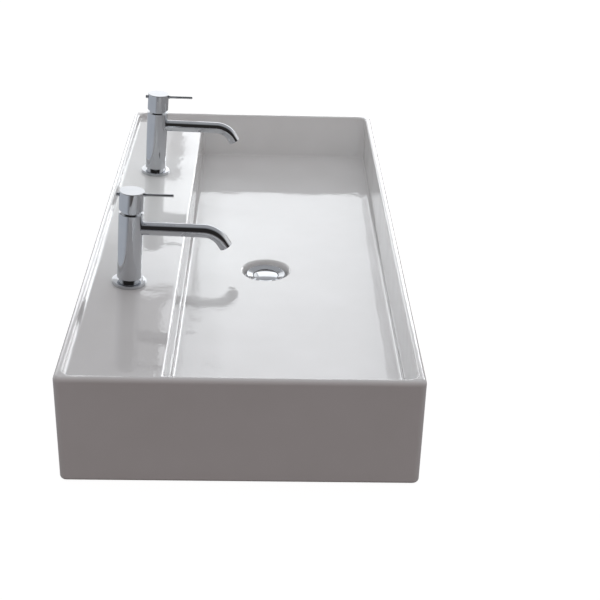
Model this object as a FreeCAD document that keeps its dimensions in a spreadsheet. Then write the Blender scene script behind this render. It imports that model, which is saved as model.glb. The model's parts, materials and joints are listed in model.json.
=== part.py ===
import FreeCAD, Part
import math
import os
import re
import Sketcher

# A long washbasin of glazed ceramic with two pin-lever mixer taps and a push-open waste.
# Millimetres, +Z up. X runs along the basin, +Y is the wall side, and the origin is the middle of the
# underside. Each tap is modelled about its own axis, from the ledge that it stands on, and then placed.

SIZES = {
    # Ceramic basin: outside, rim and skirt
    "basin_length": 1010,
    "basin_depth": 460,
    "basin_height": 152,
    "outer_corner_radius": 9,
    "foot_edge_radius": 5,
    "rim_width": 10,
    "rim_outer_radius": 5.5,
    "rim_inner_radius": 3.3,
    "skirt_thickness": 12,
    # Ceramic basin: ledge and bowl
    "ledge_drop": 8.3,
    "ledge_slope": 3.8,
    "ledge_width": 123,
    "ledge_edge_radius": 4,
    "shell_thickness": 12,
    "well_corner_radius": 15,
    "cove_radius": 5,
    "bowl_end_depth": 82,
    "bowl_middle_depth": 95,
    # Ceramic basin: drain, tap holes and wall bolts
    "drain_from_front": 200.5,
    "dish_diameter": 76,
    "dish_lip_radius": 4,
    "dish_seat_diameter": 68,
    "dish_depth": 11.5,
    "drain_hole_diameter": 46,
    "drain_boss_diameter": 104,
    "drain_boss_thickness": 12,
    "tap_spacing": 435,
    "tap_from_back": 63.5,
    "tap_hole_diameter": 35,
    "wall_bolt_spacing": 280,
    "wall_bolt_height": 100,
    "wall_bolt_hole": 16,
    # Tap: base flange, seal and body
    "flange_diameter": 49,
    "flange_top_diameter": 43,
    "flange_height": 5,
    "flange_lip": 2.2,
    "flange_edge_radius": 0.8,
    "base_seal_inner": 38,
    "base_seal_outer": 44,
    "base_seal_height": 1.5,
    "neck_gap": 5,
    "neck_diameter": 29,
    "spigot_length": 8,
    "body_diameter": 35,
    "body_top": 109.5,
    "body_edge_radius": 0.6,
    "inlet_offset_across": 7.2,
    "inlet_offset_back": 3.5,
    "inlet_recess_diameter": 11,
    "inlet_recess": 36.5,
    "inlet_thread_diameter": 10,
    "inlet_thread_depth": 12,
    "outlet_offset": 8,
    "outlet_bore": 7,
    "outlet_elbow_bore": 6,
    # Tap: spout and aerator
    "spout_height": 86.2,
    "spout_rise": 2.2,
    "spout_diameter": 19,
    "spout_wall": 1.5,
    "spout_run": 101.2,
    "spout_bend_radius": 33,
    "spout_bend_angle": 57.5,
    "spout_end": 8.5,
    "spout_socket_depth": 4,
    "aerator_length": 7,
    "aerator_wall": 1.4,
    "aerator_recess": 1.2,
    "aerator_lip_height": 1.2,
    "aerator_lip_wall": 2,
    "jet_diameter": 1.5,
    "jet_ring_radius": 3.2,
    # Tap: cartridge
    "cartridge_sink": 13,
    "cartridge_diameter": 25,
    "cartridge_height": 20,
    "cartridge_bore": 20,
    "cartridge_floor": 5.5,
    "valve_port_across": 5,
    "valve_port_back": 3,
    "valve_port_diameter": 4,
    "valve_outlet_offset": 6.5,
    "valve_outlet_diameter": 5,
    "disc_thickness": 3,
    "sliding_disc_diameter": 15.5,
    "sliding_disc_pocket": 4.6,
    "sliding_disc_pocket_depth": 2,
    "cartridge_thread_diameter": 30,
    "cartridge_thread_depth": 7,
    "collar_diameter": 28,
    "collar_lip": 1.5,
    "collar_lip_bore": 18,
    "rotor_hole": 9,
    "rotor_floor": 0.8,
    "pivot_drop": 3.5,
    "pivot_diameter": 3,
    "pivot_length": 18,
    "spindle_width": 8,
    "spindle_foot_drop": 2.5,
    "spindle_length": 20.5,
    "peg_diameter": 3,
    "peg_length": 4,
    # Tap: cap and lever
    "cap_gap": 5.2,
    "cap_diameter": 35,
    "cap_height": 27.3,
    "cap_wall": 2,
    "cap_roof": 14,
    "cap_edge_radius": 0.8,
    "cap_boss_diameter": 18,
    "cap_boss_length": 6.5,
    "lever_drop": 5.9,
    "lever_rise": 3,
    "lever_diameter": 4.2,
    "lever_reach": 57.8,
    "lever_tip_radius": 0.7,
    "lever_collar_diameter": 5.2,
    "lever_collar_length": 2.5,
    "lever_thread": 2,
    "lever_nut_diameter": 5.8,
    "lever_nut_length": 3.8,
    "grub_drop": 17.5,
    "grub_diameter": 5,
    "grub_length": 4.6,
    "grub_hex": 2.5,
    "grub_hex_depth": 2,
    # Tap: clamp under the ledge
    "stud_offset": 9,
    "stud_diameter": 8,
    "stud_thread": 14,
    "stud_length": 58,
    "clamp_gasket_diameter": 48,
    "clamp_gasket_thickness": 3,
    "clamp_plate_diameter": 46,
    "clamp_plate_thickness": 2,
    "clamp_slot_width": 27,
    "clamp_slot_start": -2,
    "clamp_nut_flats": 13,
    "clamp_nut_length": 16,
    # Waste
    "waste_flange_diameter": 65,
    "waste_rim_lip": 2.2,
    "waste_rim_inset": 2,
    "waste_flange_height": 4,
    "waste_mouth_diameter": 41.6,
    "waste_mouth_top": 3,
    "waste_mouth_depth": 4.9,
    "waste_bore": 35,
    "waste_shoulder_diameter": 44.8,
    "waste_shoulder_length": 11,
    "waste_thread_diameter": 42.8,
    "waste_tail_diameter": 41.9,
    "waste_tail_free": 15,
    "waste_tail_length": 43.5,
    "waste_edge_radius": 0.8,
    "top_seal_inner": 48,
    "top_seal_outer": 62,
    "top_seal_height": 2,
    "bottom_seal_outer": 62,
    "bottom_seal_height": 4,
    "slip_washer_outer": 60,
    "slip_washer_height": 1.5,
    "back_nut_flats": 55,
    "back_nut_height": 9,
    "spider_hub_diameter": 21,
    "spider_height": 4,
    "spider_drop": 32,
    "spider_arm_width": 4,
    "spider_arm_count": 3,
    "sleeve_diameter": 15,
    "sleeve_flange_diameter": 19,
    "sleeve_flange_height": 1,
    "sleeve_rise": 19,
    "sleeve_floor": 1,
    "plug_diameter": 40,
    "plug_thickness": 2.5,
    "plug_dome": 1.2,
    "plug_edge_radius": 0.5,
    "plug_top_drop": 3.7,
    "plug_seal_inner": 30,
    "plug_seal_outer": 38,
    "stem_diameter": 10,
    "stem_length": 24,
    "spring_inner": 6,
    "spring_outer": 9.2,
    # Fits
    "running_fit": 0.08,
    "seated_fit": 0.05,
    "loose_fit": 0.3,
    "cut_overrun": 2,
    "search_margin": 0.05,
}

FULL_TURN = 360
HEX_TURN = 60

doc = FreeCAD.newDocument("washbasin")
sheet = doc.addObject("Spreadsheet::Sheet", "sizes")
for row, (alias, number) in enumerate(SIZES.items(), 1):
    sheet.set(f"A{row}", alias)
    sheet.set(f"B{row}", str(number))
    sheet.setAlias(f"B{row}", alias)
doc.recompute()

pieces = []


def bound(text):
    """The expression with each size's name pointing at its cell."""
    return re.sub(r"[a-z_]+", lambda word: f"sizes.{word[0]}" if word[0] in SIZES else word[0], text)


def value(text):
    """What the expression comes to with the sheet as it stands."""
    return float(sheet.evalExpression(text))


def new_piece(label):
    body = doc.addObject("PartDesign::Body", label)
    body.Label = label
    pieces.append(body)
    return body


def sketch_on(body, role, lift="0", lean="0"):
    """An empty sketch on one of the body's own planes, lifted along its normal or leaned back."""
    sketch = body.newObject("Sketcher::SketchObject", "outline")
    plane = next(feature for feature in body.Origin.OriginFeatures if feature.Role == role)
    sketch.AttachmentSupport = [(plane, "")]
    sketch.MapMode = "FlatFace"
    if value(lean):
        turned = FreeCAD.Rotation(FreeCAD.Vector(-1, 0, 0), value(lean))
        sketch.AttachmentOffset = FreeCAD.Placement(FreeCAD.Vector(), turned)
        sketch.setExpression("AttachmentOffset.Rotation.Angle", bound(lean))
    sketch.setExpression("AttachmentOffset.Base.z", bound(lift))
    return sketch


def drive(sketch, constraint, text):
    """Add a dimension that follows an expression."""
    index = sketch.addConstraint(constraint)
    sketch.setExpression(f"Constraints[{index}]", bound(text))


def pin_point(sketch, geometry, point, across, up):
    """Hold a point of the sketch at two expressions, measured from the sketch's origin."""
    drive(sketch, Sketcher.Constraint("DistanceX", -1, 1, geometry, point, value(across)), across)
    drive(sketch, Sketcher.Constraint("DistanceY", -1, 1, geometry, point, value(up)), up)


def spot(across, up):
    return FreeCAD.Vector(value(across), value(up), 0)


def draw_polygon(sketch, corners):
    """A closed outline through the corners, each a pair of expressions."""
    first = sketch.GeometryCount
    count = len(corners)
    for index, corner in enumerate(corners):
        following = corners[(index + 1) % count]
        sketch.addGeometry(Part.LineSegment(spot(*corner), spot(*following)), False)
    for index, corner in enumerate(corners):
        following = (index + 1) % count
        sketch.addConstraint(Sketcher.Constraint("Coincident", first + index, 2, first + following, 1))
        pin_point(sketch, first + index, 1, *corner)
    return sketch


def draw_circle(sketch, across, up, diameter):
    circle = Part.Circle(spot(across, up), FreeCAD.Vector(0, 0, 1), value(diameter) / 2)
    geometry = sketch.addGeometry(circle, False)
    pin_point(sketch, geometry, 3, across, up)
    drive(sketch, Sketcher.Constraint("Diameter", geometry, value(diameter)), diameter)
    return sketch


def draw_hexagon(sketch, across, up, flats):
    """A hexagon with two of its corners on the across axis."""
    reach = f"({flats}) / 2 / cos({HEX_TURN} / 2)"
    corners = [(f"{across} + {reach} * cos({turned})", f"{up} + {reach} * sin({turned})")
               for turned in range(0, FULL_TURN, HEX_TURN)]
    return draw_polygon(sketch, corners)


def draw_rectangle(sketch, left, low, right, high):
    return draw_polygon(sketch, [(left, low), (right, low), (right, high), (left, high)])


def draw_sagging(sketch, half, open_level, end, middle):
    """A long section, open at one level, whose far side sags in one arc from its ends to its middle."""
    sag = f"(({end}) - ({middle}))"
    radius = f"(({half})^2 + {sag}^2) / (2 * {sag})"
    centre = FreeCAD.Vector(0, value(middle) + value(radius), 0)
    lean = math.asin(value(half) / value(radius))
    circle = Part.Circle(centre, FreeCAD.Vector(0, 0, 1), value(radius))
    left = f"-({half})"
    sketch.addGeometry(Part.LineSegment(spot(left, open_level), spot(left, end)), False)
    sketch.addGeometry(Part.ArcOfCircle(circle, -math.pi / 2 - lean, -math.pi / 2 + lean), False)
    sketch.addGeometry(Part.LineSegment(spot(half, end), spot(half, open_level)), False)
    sketch.addGeometry(Part.LineSegment(spot(half, open_level), spot(left, open_level)), False)
    close_loop(sketch)
    pin_point(sketch, 0, 1, left, open_level)
    pin_point(sketch, 0, 2, left, end)
    pin_point(sketch, 2, 1, half, end)
    pin_point(sketch, 2, 2, half, open_level)
    drive(sketch, Sketcher.Constraint("Radius", 1, value(radius)), radius)
    return sketch


def draw_half_dome(sketch, radius, foot, edge, dome):
    """Half the section of a round disc with a domed top, from its axis outwards."""
    sphere = f"(({radius})^2 + ({dome})^2) / (2 * ({dome}))"
    crown = f"{edge} + {dome}"
    centre = FreeCAD.Vector(0, value(crown) - value(sphere), 0)
    lean = math.asin(value(radius) / value(sphere))
    circle = Part.Circle(centre, FreeCAD.Vector(0, 0, 1), value(sphere))
    sketch.addGeometry(Part.LineSegment(spot("0", foot), spot(radius, foot)), False)
    sketch.addGeometry(Part.LineSegment(spot(radius, foot), spot(radius, edge)), False)
    sketch.addGeometry(Part.ArcOfCircle(circle, math.pi / 2 - lean, math.pi / 2), False)
    sketch.addGeometry(Part.LineSegment(spot("0", crown), spot("0", foot)), False)
    close_loop(sketch)
    pin_point(sketch, 0, 1, "0", foot)
    pin_point(sketch, 1, 1, radius, foot)
    pin_point(sketch, 1, 2, radius, edge)
    pin_point(sketch, 3, 1, "0", crown)
    drive(sketch, Sketcher.Constraint("Radius", 2, value(sphere)), sphere)
    return sketch


def draw_spout_path(sketch):
    """The spout's middle line: a run that rises a little towards -Y, a bend down and a straight end."""
    circle = Part.Circle(spot(*spout_bend_centre), FreeCAD.Vector(0, 0, 1), value("spout_bend_radius"))
    begin = math.pi / 2 - math.radians(value("spout_rise"))
    sweep = math.radians(value("spout_bend_angle"))
    root, bend = (f"-{spout_root}", "spout_height"), ("-spout_run", spout_bend_level)
    sketch.addGeometry(Part.LineSegment(spot(*root), spot(*bend)), False)
    sketch.addGeometry(Part.ArcOfCircle(circle, begin, begin + sweep), False)
    sketch.addGeometry(Part.LineSegment(spot(*spout_bend_end), spot(*spout_tip)), False)
    for index in range(2):
        sketch.addConstraint(Sketcher.Constraint("Coincident", index, 2, index + 1, 1))
    pin_point(sketch, 0, 1, *root)
    pin_point(sketch, 0, 2, *bend)
    pin_point(sketch, 2, 1, *spout_bend_end)
    pin_point(sketch, 2, 2, *spout_tip)
    drive(sketch, Sketcher.Constraint("Radius", 1, value("spout_bend_radius")), "spout_bend_radius")
    return sketch


def close_loop(sketch):
    """Join each line of the sketch to the next, and the last to the first."""
    count = sketch.GeometryCount
    for index in range(count):
        sketch.addConstraint(Sketcher.Constraint("Coincident", index, 2, (index + 1) % count, 1))


def spin(body, sketch):
    """A solid made by spinning the sketch about its upright axis."""
    feature = body.newObject("PartDesign::Revolution", "turned")
    feature.Profile = sketch
    feature.ReferenceAxis = (sketch, ["V_Axis"])
    feature.Angle = FULL_TURN
    doc.recompute()


def turn(label, corners):
    """A new turned piece: the outline spun about the body's Z axis."""
    body = new_piece(label)
    spin(body, draw_polygon(sketch_on(body, "XZ_Plane"), corners))
    return body


def ring(label, inner, outer, foot, head):
    """A new plain ring between two diameters and two levels."""
    return turn(label, [(f"({inner}) / 2", foot), (f"({outer}) / 2", foot),
                        (f"({outer}) / 2", head), (f"({inner}) / 2", head)])


def rod(label, role, across, up, diameter, lift, length):
    """A new round bar along the plane's normal."""
    body = new_piece(label)
    pad(body, draw_circle(sketch_on(body, role, lift), across, up, diameter), length)
    return body


def extrude(body, kind, sketch, length, reverse, both, back):
    feature = body.newObject(kind, "extruded")
    feature.Profile = sketch
    feature.Reversed = reverse
    feature.setExpression("Length", bound(length))
    if both:
        feature.SideType = "Symmetric"
    if back:
        feature.SideType = "Two sides"
        feature.setExpression("Length2", bound(back))
    doc.recompute()


def pad(body, sketch, length, reverse=False, both=False):
    extrude(body, "PartDesign::Pad", sketch, length, reverse, both, None)


def pocket(body, sketch, length, reverse=False, both=False, back=None):
    """Cut the sketch into the body, against its normal unless reversed, and make sure that it cut."""
    before = body.Shape.Volume
    extrude(body, "PartDesign::Pocket", sketch, length, reverse, both, back)
    if body.Shape.Volume >= before:
        raise RuntimeError(f"a pocket in {body.Label} removed nothing")


def groove(body, sketch):
    """Cut the outline spun about the sketch's upright axis, and make sure that it cut."""
    before = body.Shape.Volume
    feature = body.newObject("PartDesign::Groove", "groove")
    feature.Profile = sketch
    feature.ReferenceAxis = (sketch, ["V_Axis"])
    feature.Angle = FULL_TURN
    doc.recompute()
    if body.Shape.Volume >= before:
        raise RuntimeError(f"a groove in {body.Label} removed nothing")


def soften(body, radius, chosen):
    """Round the edges that the test chooses."""
    base = body.Tip
    names = [f"Edge{index}" for index, edge in enumerate(base.Shape.Edges, 1) if chosen(edge)]
    feature = body.newObject("PartDesign::Fillet", "softened")
    feature.Base = (base, names)
    feature.setExpression("Radius", bound(radius))
    doc.recompute()
    if not feature.isValid():
        raise RuntimeError(f"a rounded edge in {body.Label} failed on {names}")


def within(edge, **limits):
    """Whether the edge's box lies inside the limits, each a pair of values for x, y or z."""
    box = edge.BoundBox
    margin = value("search_margin")
    spans = {"x": (box.XMin, box.XMax), "y": (box.YMin, box.YMax), "z": (box.ZMin, box.ZMax)}
    for axis, (low, high) in limits.items():
        if spans[axis][0] < low - margin or spans[axis][1] > high + margin:
            return False
    return True


def at_rim(edge, diameter, height):
    """Whether the edge is the circle of that diameter, about the Z axis, at that height."""
    level = value(height)
    reach = edge.BoundBox.XMax - edge.BoundBox.XMin
    return within(edge, z=(level, level)) and abs(reach - value(diameter)) < value("search_margin")


# Shared places of the basin. The front, back and ends of the well are the rim's inner faces.
well_half_length = "(basin_length / 2 - rim_width)"
well_half_depth = "(basin_depth / 2 - rim_width)"
bowl_back = f"({well_half_depth} - ledge_width)"
tap_y = "(basin_depth / 2 - tap_from_back)"
drain_y = "(drain_from_front - basin_depth / 2)"
drain_seat = "(basin_height - bowl_middle_depth - dish_depth)"


def ledge_level(y):
    """The ledge's height at a distance from the basin's middle line; it falls towards the bowl."""
    return f"(basin_height - ledge_drop - ({well_half_depth} - ({y})) * tan(ledge_slope))"


def ceramic_basin():
    """One slip-cast shell: rim, ledge, bowl, drain dish and open underside."""
    basin = new_piece("basin")
    half_length, half_depth = value("basin_length / 2"), value("basin_depth / 2")
    well_x, well_y = value(well_half_length), value(well_half_depth)
    top, margin = value("basin_height"), value("search_margin")
    back = value(bowl_back)
    over_top = "basin_height + cut_overrun"

    outline = sketch_on(basin, "XY_Plane")
    pad(basin, draw_rectangle(outline, "-basin_length / 2", "-basin_depth / 2",
                              "basin_length / 2", "basin_depth / 2"), "basin_height")
    soften(basin, "outer_corner_radius", lambda edge: edge.BoundBox.ZLength > top - margin)

    # The ledge: everything above its sloping plane, from rim to rim.
    slope = sketch_on(basin, "YZ_Plane")
    draw_polygon(slope, [(f"-{well_half_depth}", ledge_level(f"-{well_half_depth}")),
                         (well_half_depth, ledge_level(well_half_depth)),
                         (well_half_depth, over_top), (f"-{well_half_depth}", over_top)])
    pocket(basin, slope, f"2 * {well_half_length}", both=True)

    # The bowl, from the front rim back to the ledge, with a floor that falls to its middle.
    floor = sketch_on(basin, "XZ_Plane")
    draw_sagging(floor, well_half_length, over_top, "basin_height - bowl_end_depth",
                       "basin_height - bowl_middle_depth")
    pocket(basin, floor, bowl_back, back=well_half_depth)

    def well_corner(edge):
        box = edge.BoundBox
        return (box.ZLength > value("ledge_drop") - margin and box.XLength < margin and box.YLength < margin
                and abs(abs(box.XMin) - well_x) < margin and abs(abs(box.YMin) - well_y) < margin)

    soften(basin, "well_corner_radius", well_corner)

    def ledge_edge(edge):
        level = value(ledge_level(bowl_back))
        return within(edge, y=(back, back), z=(level, level)) and edge.BoundBox.XLength > well_x

    soften(basin, "ledge_edge_radius", ledge_edge)

    def cove(edge):
        """Every inside corner of the well below the rim, but not the seams of the ledge's round edge."""
        box = edge.BoundBox
        if not within(edge, x=(-well_x, well_x), y=(-well_y, well_y),
                      z=(0, value(ledge_level(well_half_depth)))):
            return False
        along_ledge = box.XLength > well_x and box.ZMin > value("basin_height - bowl_end_depth") + margin
        return not (along_ledge and box.YMax < well_y - margin)

    soften(basin, "cove_radius", cove)

    def rim_inside(edge):
        return within(edge, x=(-well_x, well_x), y=(-well_y, well_y), z=(top, top))

    soften(basin, "rim_outer_radius", lambda edge: within(edge, z=(top, top)) and not rim_inside(edge))
    soften(basin, "rim_inner_radius", rim_inside)
    soften(basin, "foot_edge_radius", lambda edge: within(edge, z=(0, 0)))

    # The open underside: one hollow below the bowl and one below the ledge.
    inner_half = "(basin_length / 2 - skirt_thickness)"
    inner_depth = "(basin_depth / 2 - skirt_thickness)"
    hollow = sketch_on(basin, "XZ_Plane")
    below_end = "(basin_height - bowl_end_depth - shell_thickness)"
    below_middle = "(basin_height - bowl_middle_depth - shell_thickness)"
    draw_sagging(hollow, inner_half, "-cut_overrun", below_end, below_middle)
    pocket(basin, hollow, f"{bowl_back} + shell_thickness", back=inner_depth)
    under_ledge = sketch_on(basin, "YZ_Plane")
    wall = f"({bowl_back} + shell_thickness)"
    draw_polygon(under_ledge, [(wall, "-cut_overrun"), (inner_depth, "-cut_overrun"),
                               (inner_depth, f"{ledge_level(inner_depth)} - shell_thickness"),
                               (wall, f"{ledge_level(wall)} - shell_thickness")])
    pocket(basin, under_ledge, f"2 * {inner_half}", both=True)

    # The drain: a boss below the floor, and a round dish with a flat seat and a through hole.
    boss_foot = f"({drain_seat} - drain_boss_thickness)"
    boss = sketch_on(basin, "XY_Plane", boss_foot)
    pad(basin, draw_circle(boss, "0", drain_y, "drain_boss_diameter"),
        "drain_boss_thickness + dish_depth - shell_thickness / 2")
    floor_middle = "(basin_height - bowl_middle_depth)"
    dish_flare = "(dish_diameter - dish_seat_diameter) / 2 / dish_depth"
    dish = sketch_on(basin, "XZ_Plane", f"-{drain_y}")
    draw_polygon(dish, [("0", f"{boss_foot} - cut_overrun"),
                        ("drain_hole_diameter / 2", f"{boss_foot} - cut_overrun"),
                        ("drain_hole_diameter / 2", drain_seat), ("dish_seat_diameter / 2", drain_seat),
                        (f"dish_seat_diameter / 2 + {dish_flare} * (dish_depth + cut_overrun)",
                         f"{floor_middle} + cut_overrun"),
                        ("0", f"{floor_middle} + cut_overrun")])
    groove(basin, dish)

    def dish_lip(edge):
        reach = value("dish_diameter / 2 + cut_overrun")
        level, middle = value(floor_middle), value(drain_y)
        return within(edge, x=(-reach, reach), y=(middle - reach, middle + reach),
                      z=(level, level + value("cut_overrun")))

    soften(basin, "dish_lip_radius", dish_lip)

    # Tap holes through the ledge, and two holes in the back wall for the wall bolts.
    holes = sketch_on(basin, "XY_Plane", "basin_height")
    for side in ("-", ""):
        draw_circle(holes, f"{side}tap_spacing / 2", tap_y, "tap_hole_diameter")
    pocket(basin, holes, f"basin_height - {ledge_level(tap_y)} + 2 * shell_thickness")
    bolts = sketch_on(basin, "XZ_Plane", f"-({inner_depth} - skirt_thickness)")
    for side in ("-", ""):
        draw_circle(bolts, f"{side}wall_bolt_spacing / 2", "wall_bolt_height", "wall_bolt_hole")
    pocket(basin, bolts, "3 * skirt_thickness")


def place(body, x, y, z, lean="0"):
    """Stand the piece at a point of the basin's frame, leaned about the X axis."""
    tilt = FreeCAD.Rotation(FreeCAD.Vector(1, 0, 0), value(lean))
    body.Placement = FreeCAD.Placement(FreeCAD.Vector(), tilt)
    for axis, text in zip("xyz", (x, y, z)):
        body.setExpression(f"Placement.Base.{axis}", bound(text))
    if value(lean):
        body.setExpression("Placement.Rotation.Angle", bound(lean))
    doc.recompute()


# Shared levels of a tap, above the ledge that it stands on.
body_foot = "(flange_height + neck_gap)"
cartridge_seat = "(body_top - cartridge_sink)"
cartridge_top = f"({cartridge_seat} + cartridge_height)"
fixed_disc_foot = f"({cartridge_seat} + cartridge_floor)"
sliding_disc_foot = f"({fixed_disc_foot} + disc_thickness + running_fit)"
rotor_foot = f"({sliding_disc_foot} + disc_thickness + loose_fit)"
pivot_level = f"({cartridge_top} - pivot_drop)"
spindle_foot = f"({pivot_level} - spindle_foot_drop)"
spindle_top = f"({spindle_foot} + spindle_length)"
cap_foot = "(body_top + cap_gap)"
cap_top = f"({cap_foot} + cap_height)"
lever_level = f"({cap_top} - lever_drop)"
grub_level = f"({cap_top} - grub_drop)"
spout_root = "(body_diameter / 2 - spout_socket_depth)"
spout_bore = "(spout_diameter - 2 * spout_wall)"

# The spout's middle line, as pairs of a distance along Y and a level.
spout_fall = "(spout_bend_angle - spout_rise)"
spout_bend_level = f"(spout_height + (spout_run - {spout_root}) * tan(spout_rise))"
spout_bend_centre = ("(-spout_run - spout_bend_radius * sin(spout_rise))",
                     f"({spout_bend_level} - spout_bend_radius * cos(spout_rise))")
spout_bend_end = (f"({spout_bend_centre[0]} - spout_bend_radius * sin({spout_fall}))",
                  f"({spout_bend_centre[1]} + spout_bend_radius * cos({spout_fall}))")
spout_tip = (f"({spout_bend_end[0]} - spout_end * cos({spout_fall}))",
             f"({spout_bend_end[1]} - spout_end * sin({spout_fall}))")


def tap_base(name):
    """Foot of the tap: a shouldered flange, a rubber seal in its groove, and the machined body."""
    bore = "neck_diameter + 2 * seated_fit"
    flange = turn(f"{name}_base_flange", [
        (f"({bore}) / 2", "0"), ("base_seal_inner / 2", "0"), ("base_seal_inner / 2", "base_seal_height"),
        ("base_seal_outer / 2", "base_seal_height"), ("base_seal_outer / 2", "0"),
        ("flange_diameter / 2", "0"), ("flange_diameter / 2", "flange_lip"),
        ("flange_top_diameter / 2", "flange_height"), (f"({bore}) / 2", "flange_height")])
    soften(flange, "flange_edge_radius", lambda edge: at_rim(edge, "flange_diameter", "flange_lip")
           or at_rim(edge, "flange_top_diameter", "flange_height"))
    seal = ring(f"{name}_base_seal", "base_seal_inner + 2 * seated_fit", "base_seal_outer - 2 * seated_fit",
                "0", "base_seal_height")

    body = turn(f"{name}_tap_body", [
        ("0", "-spigot_length"), ("neck_diameter / 2", "-spigot_length"), ("neck_diameter / 2", body_foot),
        ("body_diameter / 2", body_foot), ("body_diameter / 2", "body_top"),
        ("cartridge_thread_diameter / 2", "body_top"),
        ("cartridge_thread_diameter / 2", "body_top - cartridge_thread_depth"),
        ("cartridge_diameter / 2 + seated_fit", "body_top - cartridge_thread_depth"),
        ("cartridge_diameter / 2 + seated_fit", cartridge_seat), ("0", cartridge_seat)])
    soften(body, "body_edge_radius", lambda edge: at_rim(edge, "body_diameter", body_foot)
           or at_rim(edge, "body_diameter", "body_top"))
    inlet, valve = ("inlet_offset_across", "inlet_offset_back"), ("valve_port_across", "valve_port_back")
    for (across, back), diameter, depth in (
            (inlet, "inlet_recess_diameter", "inlet_recess"),
            (inlet, "inlet_thread_diameter", "inlet_recess + inlet_thread_depth"),
            (valve, "valve_port_diameter", f"spigot_length + {cartridge_seat}")):
        ways = sketch_on(body, "XY_Plane", "-spigot_length")
        for side in ("-", ""):
            draw_circle(ways, f"{side}{across}", back, diameter)
        pocket(body, ways, depth, reverse=True)
    stud_hole = sketch_on(body, "XY_Plane", "-spigot_length")
    pocket(body, draw_circle(stud_hole, "0", "-stud_offset", "stud_diameter"), "stud_thread", reverse=True)
    outlet = draw_circle(sketch_on(body, "XY_Plane", cartridge_seat), "0", "-outlet_offset", "outlet_bore")
    pocket(body, outlet, f"{cartridge_seat} - spout_height + outlet_bore / 2")
    socket = sketch_on(body, "XZ_Plane", spout_root)
    pocket(body, draw_circle(socket, "0", "spout_height", "spout_diameter + 4 * running_fit"),
           "body_diameter", reverse=True)
    elbow = draw_circle(sketch_on(body, "XZ_Plane", "outlet_offset"), "0", "spout_height",
                        "outlet_elbow_bore")
    pocket(body, elbow, "body_diameter", reverse=True)
    return [flange, seal, body]


def tap_spout(name):
    """A bent brass tube, soldered into the body's side."""
    spout = new_piece(f"{name}_spout")
    path = draw_spout_path(sketch_on(spout, "YZ_Plane"))
    for kind, diameter in (("Additive", "spout_diameter"), ("Subtractive", spout_bore)):
        feature = spout.newObject(f"PartDesign::{kind}Pipe", "bent_tube")
        feature.Profile = draw_circle(sketch_on(spout, "XZ_Plane", spout_root), "0", "spout_height", diameter)
        feature.Spine = path
        doc.recompute()
    return spout


def tap_aerator(name):
    """A lipped sleeve in the spout's mouth and the plate of jets that it holds; Z points up the tube."""
    outer = f"{spout_bore} / 2 - seated_fit"
    inner = f"{outer} - aerator_wall"
    lip_top = "(aerator_recess + aerator_lip_height)"
    head = "aerator_recess + aerator_length"
    housing = turn(f"{name}_aerator_housing", [
        (f"{outer} - aerator_lip_wall", "aerator_recess"), (outer, "aerator_recess"), (outer, head),
        (inner, head), (inner, lip_top), (f"{outer} - aerator_lip_wall", lip_top)])
    insert = new_piece(f"{name}_aerator_insert")
    plate = draw_circle(sketch_on(insert, "XY_Plane", lip_top), "0", "0", f"2 * ({inner} - seated_fit)")
    pad(insert, plate, f"{head} - {lip_top}")
    jets = draw_circle(sketch_on(insert, "XY_Plane", lip_top), "0", "0", "jet_diameter")
    for turned in range(0, FULL_TURN, HEX_TURN):
        draw_circle(jets, f"jet_ring_radius * cos({turned})", f"jet_ring_radius * sin({turned})",
                    "jet_diameter")
    pocket(insert, jets, "aerator_length", reverse=True)
    return [housing, insert]


def drill_valve_ports(body, foot, depth):
    """Two inlets and one outlet, upwards from a level."""
    ports = sketch_on(body, "XY_Plane", foot)
    for side in ("-", ""):
        draw_circle(ports, f"{side}valve_port_across", "valve_port_back", "valve_port_diameter")
    draw_circle(ports, "0", "-valve_outlet_offset", "valve_outlet_diameter")
    pocket(body, ports, depth, reverse=True)


def tap_cartridge(name):
    """The valve: a plastic cup, a fixed and a sliding ceramic disc, and the nut that holds them down."""
    housing = turn(f"{name}_cartridge_housing", [
        ("0", cartridge_seat), ("cartridge_diameter / 2", cartridge_seat),
        ("cartridge_diameter / 2", cartridge_top), ("cartridge_bore / 2", cartridge_top),
        ("cartridge_bore / 2", fixed_disc_foot), ("0", fixed_disc_foot)])
    drill_valve_ports(housing, cartridge_seat, "cartridge_floor")
    fixed = rod(f"{name}_fixed_disc", "XY_Plane", "0", "0", "cartridge_bore - 2 * seated_fit",
                fixed_disc_foot, "disc_thickness")
    drill_valve_ports(fixed, fixed_disc_foot, "disc_thickness")
    sliding = rod(f"{name}_sliding_disc", "XY_Plane", "0", "0", "sliding_disc_diameter",
                  sliding_disc_foot, "disc_thickness")
    hollow = sketch_on(sliding, "XY_Plane", f"{sliding_disc_foot} + disc_thickness")
    pocket(sliding, draw_circle(hollow, "0", "0", "sliding_disc_pocket"), "sliding_disc_pocket_depth")

    thread, bore = "cartridge_thread_diameter / 2 - seated_fit", "cartridge_diameter / 2 + seated_fit"
    thread_foot = "body_top - cartridge_thread_depth"
    nut = turn(f"{name}_cartridge_nut", [
        (bore, thread_foot), (thread, thread_foot), (thread, "body_top"), ("collar_diameter / 2", "body_top"),
        ("collar_diameter / 2", f"{cartridge_top} + collar_lip"),
        ("collar_lip_bore / 2", f"{cartridge_top} + collar_lip"), ("collar_lip_bore / 2", cartridge_top),
        (bore, cartridge_top)])
    return [housing, fixed, sliding, nut]


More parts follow.
